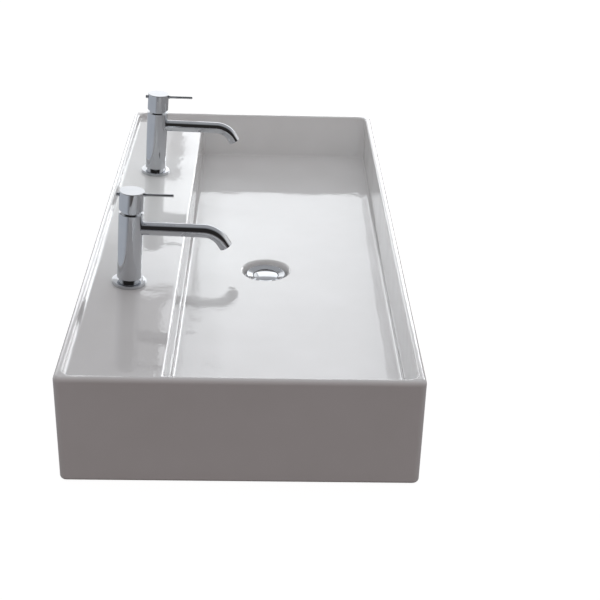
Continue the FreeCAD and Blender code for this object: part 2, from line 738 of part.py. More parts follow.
def tap_rotor(name):
    """The slotted drum that turns in the cup, and the pin that the spindle tips on."""
    head = f"{cartridge_top} - loose_fit"
    drum = "cartridge_bore / 2 - running_fit"
    rotor = turn(f"{name}_rotor", [("rotor_hole / 2", rotor_foot), (drum, rotor_foot), (drum, head),
                                   ("rotor_hole / 2", head)])
    half_slot = "(spindle_width / 2 + loose_fit)"
    slot = sketch_on(rotor, "XZ_Plane")
    draw_rectangle(slot, f"-{half_slot}", f"{rotor_foot} + rotor_floor", half_slot,
                   f"{cartridge_top} + cut_overrun")
    pocket(rotor, slot, "cartridge_diameter", both=True)
    hole = sketch_on(rotor, "YZ_Plane")
    pocket(rotor, draw_circle(hole, "0", pivot_level, "pivot_diameter + 2 * seated_fit"),
           "cartridge_diameter", both=True)
    pin = rod(f"{name}_pivot_pin", "YZ_Plane", "0", pivot_level, "pivot_diameter", "-pivot_length / 2",
              "pivot_length")
    return [rotor, pin]


def tap_spindle(name):
    """A square steel spindle with a peg that drives the sliding disc."""
    spindle = new_piece(f"{name}_spindle")
    half = "spindle_width / 2"
    square = sketch_on(spindle, "XY_Plane", spindle_foot)
    pad(spindle, draw_rectangle(square, f"-{half}", f"-{half}", half, half), "spindle_length")
    hole = sketch_on(spindle, "YZ_Plane")
    pocket(spindle, draw_circle(hole, "0", pivot_level, "pivot_diameter + 2 * running_fit"),
           "2 * spindle_width", both=True)
    peg = draw_circle(sketch_on(spindle, "XY_Plane", spindle_foot), "0", "0", "peg_diameter")
    pad(spindle, peg, "peg_length", reverse=True)
    return spindle


def tap_cap(name):
    """The round cap, and the screw that grips the spindle."""
    outer, inner = "cap_diameter / 2", "(cap_diameter / 2 - cap_wall)"
    ceiling = f"({cap_top} - cap_roof)"
    boss_foot = f"({ceiling} - cap_boss_length)"
    cap = turn(f"{name}_cap", [
        (inner, cap_foot), (outer, cap_foot), (outer, cap_top), ("0", cap_top), ("0", boss_foot),
        ("cap_boss_diameter / 2", boss_foot), ("cap_boss_diameter / 2", ceiling), (inner, ceiling)])
    soften(cap, "cap_edge_radius", lambda edge: at_rim(edge, "cap_diameter", cap_top))
    half = "(spindle_width / 2 + seated_fit)"
    socket = sketch_on(cap, "XY_Plane", boss_foot)
    pocket(cap, draw_rectangle(socket, f"-{half}", f"-{half}", half, half),
           f"{spindle_top} + loose_fit - {boss_foot}", reverse=True)
    through = sketch_on(cap, "XZ_Plane", lean="lever_rise")
    pocket(cap, draw_circle(through, "0", f"{lever_level} * cos(lever_rise)",
                            "lever_diameter + 2 * seated_fit"), "2 * cap_diameter", both=True)
    access = sketch_on(cap, "XZ_Plane")
    pocket(cap, draw_circle(access, "0", grub_level, "grub_diameter + 2 * seated_fit"), "cap_diameter")

    grub_back = "spindle_width / 2 + seated_fit + grub_length"
    grub = rod(f"{name}_grub_screw", "XZ_Plane", "0", grub_level, "grub_diameter", f"-({grub_back})",
               "grub_length")
    drive_socket = sketch_on(grub, "XZ_Plane", f"-({grub_back})")
    pocket(grub, draw_hexagon(drive_socket, "0", grub_level, "grub_hex"), "grub_hex_depth", reverse=True)
    return [cap, grub]


def beside_cap(diameter):
    """How far along the leaning lever a square end of this diameter clears the cap's side."""
    return f"(cap_diameter / 2 / cos(lever_rise) + {diameter} / 2 * tan(lever_rise))"


def tap_lever(name):
    """The pin lever and the small nut behind the cap, along Y from the cap's axis."""
    nut_seat = beside_cap("lever_nut_diameter")
    lever_back = f"({nut_seat} + lever_thread)"
    lever = rod(f"{name}_lever", "XZ_Plane", "0", "0", "lever_diameter", f"-{lever_back}",
                f"lever_reach + {lever_back}")
    tip = value("-lever_reach")
    soften(lever, "lever_tip_radius", lambda edge: within(edge, y=(tip, tip)))
    collar = sketch_on(lever, "XZ_Plane", beside_cap("lever_collar_diameter"))
    pad(lever, draw_circle(collar, "0", "0", "lever_collar_diameter"), "lever_collar_length")

    nut_back = f"({nut_seat} + lever_nut_length)"
    nut = rod(f"{name}_lever_nut", "XZ_Plane", "0", "0", "lever_nut_diameter", f"-{nut_back}",
              "lever_nut_length")
    soften(nut, "lever_tip_radius", lambda edge: within(edge, y=(value(nut_back), value(nut_back))))
    thread = sketch_on(nut, "XZ_Plane", f"-{nut_seat}")
    pocket(nut, draw_circle(thread, "0", "0", "lever_diameter + 2 * seated_fit"),
           "lever_thread + seated_fit")
    return [lever, nut]


def tap_clamp(name):
    """What holds the tap down: a stud, a rubber and a steel horseshoe under the ledge, and a long nut."""
    stud = rod(f"{name}_fixing_stud", "XY_Plane", "0", "-stud_offset", "stud_diameter - 2 * seated_fit",
               "stud_thread - spigot_length - stud_length", "stud_length")
    shoes = []
    head = "-shell_thickness"
    for label, diameter, thickness in (("clamp_gasket", "clamp_gasket_diameter", "clamp_gasket_thickness"),
                                       ("clamp_plate", "clamp_plate_diameter", "clamp_plate_thickness")):
        foot = f"{head} - {thickness}"
        shoe = rod(f"{name}_{label}", "XY_Plane", "0", "0", diameter, foot, thickness)
        slot = sketch_on(shoe, "XY_Plane", foot)
        draw_rectangle(slot, "-clamp_slot_width / 2", "clamp_slot_start", "clamp_slot_width / 2", diameter)
        pocket(shoe, slot, thickness, reverse=True)
        hole = sketch_on(shoe, "XY_Plane", foot)
        pocket(shoe, draw_circle(hole, "0", "-stud_offset", "stud_diameter + 2 * loose_fit"), thickness,
               reverse=True)
        shoes.append(shoe)
        head = foot
    nut = new_piece(f"{name}_clamp_nut")
    foot = f"{head} - clamp_nut_length"
    pad(nut, draw_hexagon(sketch_on(nut, "XY_Plane", foot), "0", "-stud_offset", "clamp_nut_flats"),
        "clamp_nut_length")
    bore = sketch_on(nut, "XY_Plane", foot)
    pocket(nut, draw_circle(bore, "0", "-stud_offset", "stud_diameter"), "clamp_nut_length", reverse=True)
    return [stud, nut] + shoes


def mixer_tap(name, side):
    """One tap, standing square on the sloping ledge."""
    upright = [*tap_base(name), tap_spout(name), *tap_cartridge(name), *tap_rotor(name), tap_spindle(name),
               *tap_cap(name), *tap_clamp(name)]
    x, ledge = f"{side}tap_spacing / 2", ledge_level(tap_y)
    for body in upright:
        place(body, x, tap_y, ledge, "ledge_slope")
    for body in tap_lever(name):
        place(body, x, f"{tap_y} - {lever_level} * sin(ledge_slope)",
              f"{ledge} + {lever_level} * cos(ledge_slope)", "ledge_slope - lever_rise")
    along, up = spout_tip
    for body in tap_aerator(name):
        place(body, x, f"{tap_y} + {along} * cos(ledge_slope) - {up} * sin(ledge_slope)",
              f"{ledge} + {along} * sin(ledge_slope) + {up} * cos(ledge_slope)",
              f"ledge_slope + {spout_fall} - {FULL_TURN} / 4")


# Shared levels of the waste, above the flat seat of the drain dish.
waste_rim = "(top_seal_height + waste_flange_height)"
mouth_floor = "(waste_mouth_top - waste_mouth_depth)"
plug_edge = f"({waste_rim} - plug_top_drop)"
plug_foot = f"({plug_edge} - plug_thickness)"
stem_foot = f"({plug_foot} - stem_length)"
sleeve_foot = "(-spider_drop - sleeve_floor)"


def waste_body():
    """The chromed waste: a dished flange, a wide shoulder, a threaded tail and a spider across its bore."""
    tail_foot = "(top_seal_height - waste_tail_length)"
    shoulder_foot = "(top_seal_height - waste_shoulder_length)"
    body = turn("waste_body", [
        ("waste_bore / 2", tail_foot), ("waste_tail_diameter / 2", tail_foot),
        ("waste_tail_diameter / 2", f"{tail_foot} + waste_tail_free"),
        ("waste_thread_diameter / 2", f"{tail_foot} + waste_tail_free"),
        ("waste_thread_diameter / 2", shoulder_foot), ("waste_shoulder_diameter / 2", shoulder_foot),
        ("waste_shoulder_diameter / 2", "top_seal_height"), ("waste_flange_diameter / 2", "top_seal_height"),
        ("waste_flange_diameter / 2", "top_seal_height + waste_rim_lip"),
        ("waste_flange_diameter / 2 - waste_rim_inset", waste_rim),
        ("waste_mouth_diameter / 2", "waste_mouth_top"), ("waste_mouth_diameter / 2", mouth_floor),
        ("waste_bore / 2", mouth_floor)])
    soften(body, "waste_edge_radius", lambda edge: at_rim(edge, "waste_mouth_diameter", "waste_mouth_top")
           or at_rim(edge, "waste_flange_diameter - 2 * waste_rim_inset", waste_rim))
    arms = sketch_on(body, "XY_Plane", "-spider_drop")
    near, far, half = "spider_hub_diameter / 4", "waste_bore / 2 + running_fit", "spider_arm_width / 2"
    arm_corners = ((near, f"-{half}"), (far, f"-{half}"), (far, half), (near, half))
    for arm in range(int(value("spider_arm_count"))):
        turned = f"({FULL_TURN} * ({arm} / spider_arm_count + 1 / 4))"
        draw_polygon(arms, [(f"({along}) * cos{turned} - ({aside}) * sin{turned}",
                             f"({along}) * sin{turned} + ({aside}) * cos{turned}")
                            for along, aside in arm_corners])
    pad(body, arms, "spider_height")
    hub = sketch_on(body, "XY_Plane", "-spider_drop")
    pad(body, draw_circle(hub, "0", "0", "spider_hub_diameter"), "spider_height")
    bore = sketch_on(body, "XY_Plane", "-spider_drop")
    draw_circle(bore, "0", "0", "sleeve_diameter + 2 * seated_fit")
    pocket(body, bore, "spider_height", reverse=True)
    return body


def waste_fixings():
    """The rubber seals above and below the ceramic, the slip washer and the back nut."""
    around = "waste_thread_diameter + 2 * loose_fit"
    levels = ["-drain_boss_thickness"]
    for height in ("bottom_seal_height", "slip_washer_height", "back_nut_height"):
        levels.append(f"{levels[-1]} - {height}")
    top = ring("waste_top_seal", "top_seal_inner", "top_seal_outer", "0", "top_seal_height")
    bottom = ring("waste_bottom_seal", around, "bottom_seal_outer", levels[1], levels[0])
    washer = ring("waste_slip_washer", around, "slip_washer_outer", levels[2], levels[1])
    nut = new_piece("waste_back_nut")
    flats = draw_hexagon(sketch_on(nut, "XY_Plane", levels[3]), "0", "0", "back_nut_flats")
    pad(nut, flats, "back_nut_height")
    bore = sketch_on(nut, "XY_Plane", levels[3])
    pocket(nut, draw_circle(bore, "0", "0", "waste_thread_diameter + 2 * seated_fit"), "back_nut_height",
           reverse=True)
    return [top, bottom, washer, nut]


def waste_plug():
    """The domed plug with its seal and stem, and the sleeve and spring below that carry it."""
    bore = "stem_diameter / 2 + running_fit"
    flange_foot = "(spider_height - spider_drop)"
    flange_top = f"({flange_foot} + sleeve_flange_height)"
    sleeve = turn("waste_sleeve", [
        ("0", sleeve_foot), ("sleeve_diameter / 2", sleeve_foot), ("sleeve_diameter / 2", flange_foot),
        ("sleeve_flange_diameter / 2", flange_foot), ("sleeve_flange_diameter / 2", flange_top),
        ("sleeve_diameter / 2", flange_top), ("sleeve_diameter / 2", f"{flange_foot} + sleeve_rise"),
        (bore, f"{flange_foot} + sleeve_rise"), (bore, "-spider_drop"), ("0", "-spider_drop")])
    spring = ring("waste_spring", "spring_inner", "spring_outer", "-spider_drop", stem_foot)
    cap = new_piece("plug_cap")
    dome = sketch_on(cap, "XZ_Plane")
    spin(cap, draw_half_dome(dome, "plug_diameter / 2", plug_foot, plug_edge, "plug_dome"))
    soften(cap, "plug_edge_radius", lambda edge: at_rim(edge, "plug_diameter", plug_edge))
    seal = ring("plug_seal", "plug_seal_inner", "plug_seal_outer", f"{mouth_floor} + running_fit", plug_foot)
    stem = rod("plug_stem", "XY_Plane", "0", "0", "stem_diameter", stem_foot, "stem_length")
    return [sleeve, spring, cap, seal, stem]


ceramic_basin()
for tap_name, tap_side in (("left", "-"), ("right", "")):
    mixer_tap(tap_name, tap_side)
for waste_piece in [waste_body(), *waste_fixings(), *waste_plug()]:
    place(waste_piece, "0", drain_y, drain_seat)

for item in doc.Objects:
    if "Invalid" in item.State or "Error" in item.State:
        raise RuntimeError(f"{item.Label} did not recompute: {item.State}")
os.makedirs("parts", exist_ok=True)
for piece in pieces:
    if piece.Shape.isNull() or not piece.Shape.isValid():
        raise RuntimeError(f"{piece.Label} has no sound shape")
    piece.Shape.exportStep(f"parts/{piece.Label}.step")
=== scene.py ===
import json
import math

import bmesh
import bpy
from mathutils import Matrix, Vector

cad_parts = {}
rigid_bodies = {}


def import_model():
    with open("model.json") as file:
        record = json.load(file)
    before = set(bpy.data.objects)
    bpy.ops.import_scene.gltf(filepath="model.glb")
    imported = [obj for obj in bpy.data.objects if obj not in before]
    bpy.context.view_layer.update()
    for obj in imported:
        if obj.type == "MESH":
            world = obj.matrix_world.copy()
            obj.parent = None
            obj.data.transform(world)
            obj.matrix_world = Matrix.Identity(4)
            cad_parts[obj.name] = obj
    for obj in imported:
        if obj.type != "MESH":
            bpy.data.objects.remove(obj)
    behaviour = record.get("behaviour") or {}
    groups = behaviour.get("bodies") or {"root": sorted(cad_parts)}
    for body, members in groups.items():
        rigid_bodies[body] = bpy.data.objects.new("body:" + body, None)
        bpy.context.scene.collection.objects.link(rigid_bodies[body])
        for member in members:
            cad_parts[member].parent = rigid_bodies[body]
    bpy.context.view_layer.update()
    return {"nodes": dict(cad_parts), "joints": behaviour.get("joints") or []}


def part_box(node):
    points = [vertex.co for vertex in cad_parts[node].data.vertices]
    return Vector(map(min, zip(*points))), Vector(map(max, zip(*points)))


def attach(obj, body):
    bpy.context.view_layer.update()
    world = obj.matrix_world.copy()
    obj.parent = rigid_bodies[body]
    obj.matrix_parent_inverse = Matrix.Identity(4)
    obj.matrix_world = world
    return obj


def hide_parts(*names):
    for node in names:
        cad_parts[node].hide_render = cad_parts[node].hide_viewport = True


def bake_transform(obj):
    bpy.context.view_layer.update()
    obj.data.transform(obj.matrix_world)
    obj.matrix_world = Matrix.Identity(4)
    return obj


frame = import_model()
scene = bpy.context.scene


# Basin: one slip-cast shell of vitreous china, sprayed with white glaze and fired standing on its foot.
# The glaze lies in low soft waves with a fine orange peel over them. The foot, which stands on the kiln
# shelf, and the faces that look down stay bare and chalky.
def new_material(name):
    """A new finish, with its node tree and its shader."""
    material = bpy.data.materials.new(name)
    material.use_nodes = True
    return material, material.node_tree, material.node_tree.nodes["Principled BSDF"]


def on_surface(tree, stretch=(1, 1, 1)):
    """The piece's own coordinates in metres, scaled along each axis."""
    where = tree.nodes.new("ShaderNodeTexCoord")
    scaled = tree.nodes.new("ShaderNodeMapping")
    scaled.inputs["Scale"].default_value = stretch
    tree.links.new(where.outputs["Object"], scaled.inputs["Vector"])
    return scaled.outputs["Vector"]


def mottle(tree, scale, detail=2.0, stretch=(1, 1, 1)):
    """Soft noise with about this many patches in a metre."""
    noise = tree.nodes.new("ShaderNodeTexNoise")
    noise.inputs["Scale"].default_value = scale
    noise.inputs["Detail"].default_value = detail
    tree.links.new(on_surface(tree, stretch), noise.inputs["Vector"])
    return noise.outputs["Fac"]


def span(tree, source, low, high, start=0.35, end=0.65):
    """The source, spread from low at start to high at end."""
    ranged = tree.nodes.new("ShaderNodeMapRange")
    for socket, number in (("From Min", start), ("From Max", end), ("To Min", low), ("To Max", high)):
        ranged.inputs[socket].default_value = number
    tree.links.new(source, ranged.inputs["Value"])
    return ranged.outputs["Result"]


def combine(tree, kind, one, two):
    """Two sources, or a source and a number, put together by one step of arithmetic."""
    step = tree.nodes.new("ShaderNodeMath")
    step.operation = kind
    for index, item in enumerate((one, two)):
        if isinstance(item, (int, float)):
            step.inputs[index].default_value = item
        else:
            tree.links.new(item, step.inputs[index])
    return step.outputs[0]


def tint(tree, source, first, second):
    """A colour that goes from first to second with the source."""
    mixed = tree.nodes.new("ShaderNodeMix")
    mixed.data_type = "RGBA"
    tree.links.new(source, mixed.inputs["Factor"])
    for name, colour in (("A", first), ("B", second)):
        socket = next(s for s in mixed.inputs if s.name == name and s.type == "RGBA")
        if isinstance(colour, tuple):
            socket.default_value = (*colour, 1)
        else:
            tree.links.new(colour, socket)
    return next(s for s in mixed.outputs if s.type == "RGBA")


def patchy(tree, first, second, scale, detail):
    """A colour that wanders from first to second in soft patches."""
    return tint(tree, span(tree, mottle(tree, scale, detail), low=0, high=1), first, second)


def relief(tree, shader, source, depth):
    """Raise the surface by up to this depth in metres, over any relief that it already has."""
    bump = tree.nodes.new("ShaderNodeBump")
    bump.inputs["Strength"].default_value = 1
    bump.inputs["Distance"].default_value = depth
    tree.links.new(source, bump.inputs["Height"])
    if shader.inputs["Normal"].is_linked:
        tree.links.new(shader.inputs["Normal"].links[0].from_socket, bump.inputs["Normal"])
    tree.links.new(bump.outputs["Normal"], shader.inputs["Normal"])


def coat(material, *nodes):
    """Give CAD nodes their finish."""
    for node in nodes:
        frame["nodes"][node].material_slots[0].material = material


glaze, tree, shader = new_material("white_glaze")
shader.inputs["IOR"].default_value = 1.55
level = tree.nodes.new("ShaderNodeSeparateXYZ")
tree.links.new(on_surface(tree), level.inputs[0])
facing = tree.nodes.new("ShaderNodeNewGeometry")
lean = tree.nodes.new("ShaderNodeSeparateXYZ")
tree.links.new(facing.outputs["Normal"], lean.inputs[0])
lowest_glaze, glaze_wander, glaze_fade = 0.0006, 0.0016, 0.0005
ragged_line = combine(tree, "MULTIPLY_ADD", mottle(tree, scale=60), glaze_wander)
ragged_line.node.inputs[2].default_value = lowest_glaze
above_line = combine(tree, "SUBTRACT", level.outputs["Z"], ragged_line)
foot_bare = span(tree, above_line, low=1, high=0, start=0, end=glaze_fade)
under_bare = span(tree, lean.outputs["Z"], low=1, high=0, start=-0.55, end=-0.35)
bare = combine(tree, "MAXIMUM", foot_bare, under_bare)
glazed_white = patchy(tree, (0.835, 0.835, 0.832), (0.855, 0.855, 0.855), scale=14, detail=2)
bisque = patchy(tree, (0.66, 0.62, 0.56), (0.74, 0.71, 0.66), scale=160, detail=5)
tree.links.new(tint(tree, bare, glazed_white, bisque), shader.inputs["Base Color"])
glazed_rough = span(tree, mottle(tree, scale=22, detail=3), low=0.03, high=0.06)
bare_rough = combine(tree, "MULTIPLY", bare, 0.82)
tree.links.new(combine(tree, "MAXIMUM", glazed_rough, bare_rough), shader.inputs["Roughness"])
soft_waves = mottle(tree, scale=13, detail=1.5)
relief(tree, shader, soft_waves, depth=0.0007)
orange_peel = mottle(tree, scale=130, detail=1.5)
relief(tree, shader, orange_peel, depth=0.00007)
chalk = combine(tree, "MULTIPLY", mottle(tree, scale=1400, detail=3), bare)
relief(tree, shader, chalk, depth=0.00015)
coat(glaze, "basin")


# Waste body and plug: turned brass, polished and plated with chrome. The flange clamps down on the dish,
# and the domed plug stands in its mouth.
# Chrome is a mirror with the faint haze of wiping on it and a few dried water spots.
chrome, tree, shader = new_material("chrome_plate")
shader.inputs["Metallic"].default_value = 1
tree.links.new(patchy(tree, (0.565, 0.58, 0.605), (0.595, 0.605, 0.625), scale=45, detail=3),
               shader.inputs["Base Color"])
drops = tree.nodes.new("ShaderNodeTexVoronoi")
drops.inputs["Scale"].default_value = 150
tree.links.new(on_surface(tree), drops.inputs["Vector"])
each_drop = span(tree, drops.outputs["Distance"], low=1, high=0, start=0.10, end=0.16)
splashed = span(tree, mottle(tree, scale=35), low=0, high=0.09, start=0.56, end=0.62)
spots = combine(tree, "MULTIPLY", each_drop, splashed)
wiped = span(tree, mottle(tree, scale=70, detail=4, stretch=(1, 1, 0.25)), low=0.025, high=0.055)
tree.links.new(combine(tree, "ADD", wiped, spots), shader.inputs["Roughness"])
relief(tree, shader, mottle(tree, scale=55, detail=1), depth=0.000018)
coat(chrome, "waste_body", "plug_cap")


# Rubber rings of the waste: moulded black rubber with rounded lips, one under the flange, one under the
# ceramic, and the thin one that the plug closes with.
rubber, tree, shader = new_material("black_rubber")
tree.links.new(patchy(tree, (0.022, 0.022, 0.023), (0.050, 0.049, 0.047), scale=120, detail=4),
               shader.inputs["Base Color"])
tree.links.new(span(tree, mottle(tree, scale=300, detail=3), low=0.55, high=0.75),
               shader.inputs["Roughness"])
relief(tree, shader, mottle(tree, scale=1800, detail=3), depth=0.00006)


def skinned(name, rings, material, closed=True):
    """A closed skin over rings of points; where it isn't closed on itself, each end gets a flat cap."""
    mesh = bpy.data.meshes.new(name)
    shell = bmesh.new()
    rows = [[shell.verts.new(point) for point in ring] for ring in rings]
    count = len(rings[0])
    for index in range(len(rows) if closed else len(rows) - 1):
        one, two = rows[index], rows[(index + 1) % len(rows)]
        for k in range(count):
            shell.faces.new((one[k], one[(k + 1) % count], two[(k + 1) % count], two[k]))
    if not closed:
        shell.faces.new(rows[0])
        shell.faces.new(rows[-1])
    bmesh.ops.recalc_face_normals(shell, faces=shell.faces)
    shell.to_mesh(mesh)
    shell.free()
    mesh.materials.append(material)
    mesh.shade_smooth()
    mesh.set_sharp_from_angle(angle=math.radians(32))
    return mesh


def turned(name, outline, material, closed=True, steps=72):
    """A lathed piece about Z; the outline is radius and height in millimetres."""
    angles = [math.tau * k / steps for k in range(steps)]
    rings = [[(r * math.cos(angle) / 1000, r * math.sin(angle) / 1000, z / 1000) for angle in angles]
             for r, z in outline]
    return skinned(name, rings, material, closed)


def lipped(inner, outer, height, lip):
    """The outline of a ring whose four edges are rounded."""
    outline = []
    for r, z, start in ((outer - lip, height - lip, 0), (inner + lip, height - lip, 90),
                        (inner + lip, lip, 180), (outer - lip, lip, 270)):
        for turn in (0, 22, 45, 68, 90):
            angle = math.radians(start + turn)
            outline.append((r + lip * math.cos(angle), z + lip * math.sin(angle)))
    return outline


def stand_for(mesh, node, body, where):
    """Put a finished mesh where a hidden CAD node is, on the node's body."""
    mesh.transform(where)
    piece = bpy.data.objects.new(mesh.name, mesh)
    scene.collection.objects.link(piece)
    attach(piece, body)
    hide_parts(node)


def foot_of(node):
    """The middle of a node's lower end, as a placing."""
    low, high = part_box(node)
    return Matrix.Translation(((low.x + high.x) / 2, (low.y + high.y) / 2, low.z))


for node, inner, outer, height, lip in (("waste_top_seal", 24.0, 31.0, 2.0, 0.8),
                                        ("waste_bottom_seal", 21.6, 31.0, 4.0, 1.4)):
    ring = turned(f"{node}_ring", lipped(inner, outer, height, lip), rubber)
    stand_for(ring, node, "base", foot_of(node))
coat(rubber, "plug_seal")


# Slip washer, guide sleeve and stem: moulded acetal for the washer and sleeve, so that the nut turns and
# the plug slides without grease, and a bright steel stem.
acetal, tree, shader = new_material("moulded_acetal")
tree.links.new(patchy(tree, (0.78, 0.78, 0.75), (0.85, 0.85, 0.83), scale=40, detail=3),
               shader.inputs["Base Color"])
shader.inputs["Subsurface Weight"].default_value = 0.08
shader.inputs["Subsurface Radius"].default_value = (0.002, 0.002, 0.002)
tree.links.new(span(tree, mottle(tree, scale=260, detail=3), low=0.32, high=0.50),
               shader.inputs["Roughness"])
relief(tree, shader, mottle(tree, scale=900, detail=2), depth=0.00002)
coat(acetal, "waste_slip_washer", "waste_sleeve")

steel, tree, shader = new_material("zinc_plated_steel")
shader.inputs["Metallic"].default_value = 1
tree.links.new(patchy(tree, (0.50, 0.51, 0.53), (0.62, 0.62, 0.61), scale=220, detail=4),
               shader.inputs["Base Color"])
tree.links.new(span(tree, mottle(tree, scale=140, detail=3), low=0.22, high=0.42),
               shader.inputs["Roughness"])
relief(tree, shader, mottle(tree, scale=700, detail=2, stretch=(1, 1, 8)), depth=0.00003)
coat(steel, "plug_stem")


# Plug spring and tail thread: the spring is coiled steel wire under the stem, and the thread that takes
# the trap's nut is cut round the waste's tail. Both are one wound ridge.
# The spring's foot stays on the sleeve; the coil is fixed, and its head doesn't go up with the plug.
def named_inputs(tree, kinds):
    """Give a node tree its named inputs, and return the identifier of each."""
    sockets = {}
    for name, kind in kinds.items():
        socket = tree.interface.new_socket(name, in_out="INPUT", socket_type=f"NodeSocket{kind}")
        sockets[name] = socket.identifier
    return sockets


def winding_tree():
    """A ridge wound on a cylinder: turns, radius, rise and thickness are its sizes, all in metres."""
    tree = bpy.data.node_groups.new("wound_ridge", "GeometryNodeTree")
    tree.interface.new_socket("Geometry", in_out="OUTPUT", socket_type="NodeSocketGeometry")
    sockets = named_inputs(tree, {"Turns": "Float", "Radius": "Float", "Rise": "Float",
                                  "Thickness": "Float", "Sides": "Int", "Finish": "Material"})
    given = tree.nodes.new("NodeGroupInput")
    path = tree.nodes.new("GeometryNodeCurveSpiral")
    path.inputs["Resolution"].default_value = 40
    edge = tree.nodes.new("GeometryNodeCurvePrimitiveCircle")
    swept = tree.nodes.new("GeometryNodeCurveToMesh")
    swept.inputs["Fill Caps"].default_value = True
    whole = tree.nodes.new("GeometryNodeRealizeInstances")
    painted = tree.nodes.new("GeometryNodeSetMaterial")
    result = tree.nodes.new("NodeGroupOutput")
    for name, target in (("Turns", path.inputs["Rotations"]), ("Radius", path.inputs["Start Radius"]),
                         ("Radius", path.inputs["End Radius"]), ("Rise", path.inputs["Height"]),
                         ("Thickness", edge.inputs["Radius"]), ("Sides", edge.inputs["Resolution"]),
                         ("Finish", painted.inputs["Material"])):
        tree.links.new(given.outputs[name], target)
    tree.links.new(path.outputs["Curve"], swept.inputs["Curve"])
    tree.links.new(edge.outputs["Curve"], swept.inputs["Profile Curve"])
    tree.links.new(swept.outputs["Mesh"], whole.inputs["Geometry"])
    tree.links.new(whole.outputs["Geometry"], painted.inputs["Geometry"])
    tree.links.new(painted.outputs["Geometry"], result.inputs["Geometry"])
    return tree, sockets


winding, winding_sockets = winding_tree()


def grown(name, tree, sockets, sizes):
    """Run a node tree with these sizes and keep the result as a plain mesh."""
    holder = bpy.data.objects.new(name, bpy.data.meshes.new(name))
    scene.collection.objects.link(holder)
    maker = holder.modifiers.new("maker", "NODES")
    maker.node_group = tree
    for size, number in sizes.items():
        maker[sockets[size]] = number
    bpy.context.view_layer.update()
    graph = bpy.context.evaluated_depsgraph_get()
    mesh = bpy.data.meshes.new_from_object(holder.evaluated_get(graph), depsgraph=graph)
    holder.modifiers.remove(maker)
    bpy.data.objects.remove(holder)
    mesh.name = name
    shell = bmesh.new()
    shell.from_mesh(mesh)
    bmesh.ops.recalc_face_normals(shell, faces=shell.faces)
    shell.to_mesh(mesh)
    shell.free()
    mesh.shade_smooth()
    mesh.set_sharp_from_angle(angle=math.radians(50))
    return mesh


def wound(name, turns, radius, rise, thickness, sides, finish):
    """A wound ridge as a plain mesh; its sizes are in millimetres."""
    return grown(name, winding, winding_sockets,
                 {"Turns": turns, "Radius": radius / 1000, "Rise": rise / 1000,
                  "Thickness": thickness / 1000, "Sides": sides, "Finish": finish})


low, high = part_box("waste_spring")
middle_x, middle_y = (low.x + high.x) / 2, (low.y + high.y) / 2
wire = 0.42
coil = wound("plug_spring_coil", turns=5.0, radius=3.8, rise=(high.z - low.z) * 1000 - 2 * wire,
             thickness=wire, sides=8, finish=steel)
coil.transform(Matrix.Translation((middle_x, middle_y, low.z + wire / 1000)))
spring = bpy.data.objects.new("plug_spring_coil", coil)
scene.collection.objects.link(spring)
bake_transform(spring)
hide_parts("waste_spring")

tail_thread_start = 0.0010
thread = wound("waste_tail_thread", turns=5.6, radius=20.9, rise=13.0, thickness=0.42, sides=6,
               finish=chrome)
thread.transform(foot_of("waste_body") @ Matrix.Translation((0, 0, tail_thread_start)))
tail_thread = bpy.data.objects.new("waste_tail_thread", thread)
scene.collection.objects.link(tail_thread)
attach(tail_thread, "base")


# Back nut: a flat brass hexagon on the waste's tail that draws the waste down on its seal. It is cut from
# bar, with the corners turned off at both faces.
brass, tree, shader = new_material("turned_brass")
shader.inputs["Metallic"].default_value = 1
tree.links.new(patchy(tree, (0.58, 0.42, 0.19), (0.74, 0.57, 0.30), scale=90, detail=4),
               shader.inputs["Base Color"])
tree.links.new(span(tree, mottle(tree, scale=160, detail=3), low=0.20, high=0.40),
               shader.inputs["Roughness"])
relief(tree, shader, mottle(tree, scale=500, detail=2, stretch=(1, 1, 10)), depth=0.00004)


def hex_nut(name, flats, bore_radius, height, material, steps=96):
    """A hexagon nut, its corners turned off at both faces and its bore countersunk; millimetres."""
    face = flats / 2 * 0.96
    sink = min(0.8, height * 0.1)
    slope = math.tan(math.radians(30))
    angles, outlines = [], []
    for k in range(steps):
        sector = (math.tau * k / steps + math.pi / 6) % (math.pi / 3) - math.pi / 6
        edge = flats / 2 / math.cos(sector)
        drop = (edge - face) * slope
        angles.append(math.tau * k / steps + math.pi / 2)
        outlines.append(((bore_radius, sink), (bore_radius, height - sink), (bore_radius + sink, height),
                         (face, height), (edge, height - drop), (edge, drop), (face, 0),
                         (bore_radius + sink, 0)))
    rings = [[(r * math.cos(angle) / 1000, r * math.sin(angle) / 1000, z / 1000)
              for (r, z), angle in zip(row, angles)] for row in zip(*outlines)]
    return skinned(name, rings, material)


back_nut = hex_nut("waste_back_nut_hexagon", flats=54.9, bore_radius=21.45, height=9.0, material=brass)
stand_for(back_nut, "waste_back_nut", "base", foot_of("waste_back_nut"))


# Taps: turned and tube-bent brass, polished and chromed. The body stands on a flat flange with a rounded
# edge and a groove for its seal, the spout is soldered into the body's side, and the cap with its pin
# lever sits on the valve's spindle.
def tap_foot(side):
    """The placing of the point where a tap's axis meets the ledge."""
    pivot_height = 0.113
    turning = next(joint for joint in frame["joints"] if joint["name"] == f"{side}_temperature")
    up = Vector(turning["axis"])
    leaning = Matrix.Rotation(math.atan2(-up.y, up.z), 4, "X")
    return Matrix.Translation(Vector(turning["pos_m"]) - pivot_height * up) @ leaning


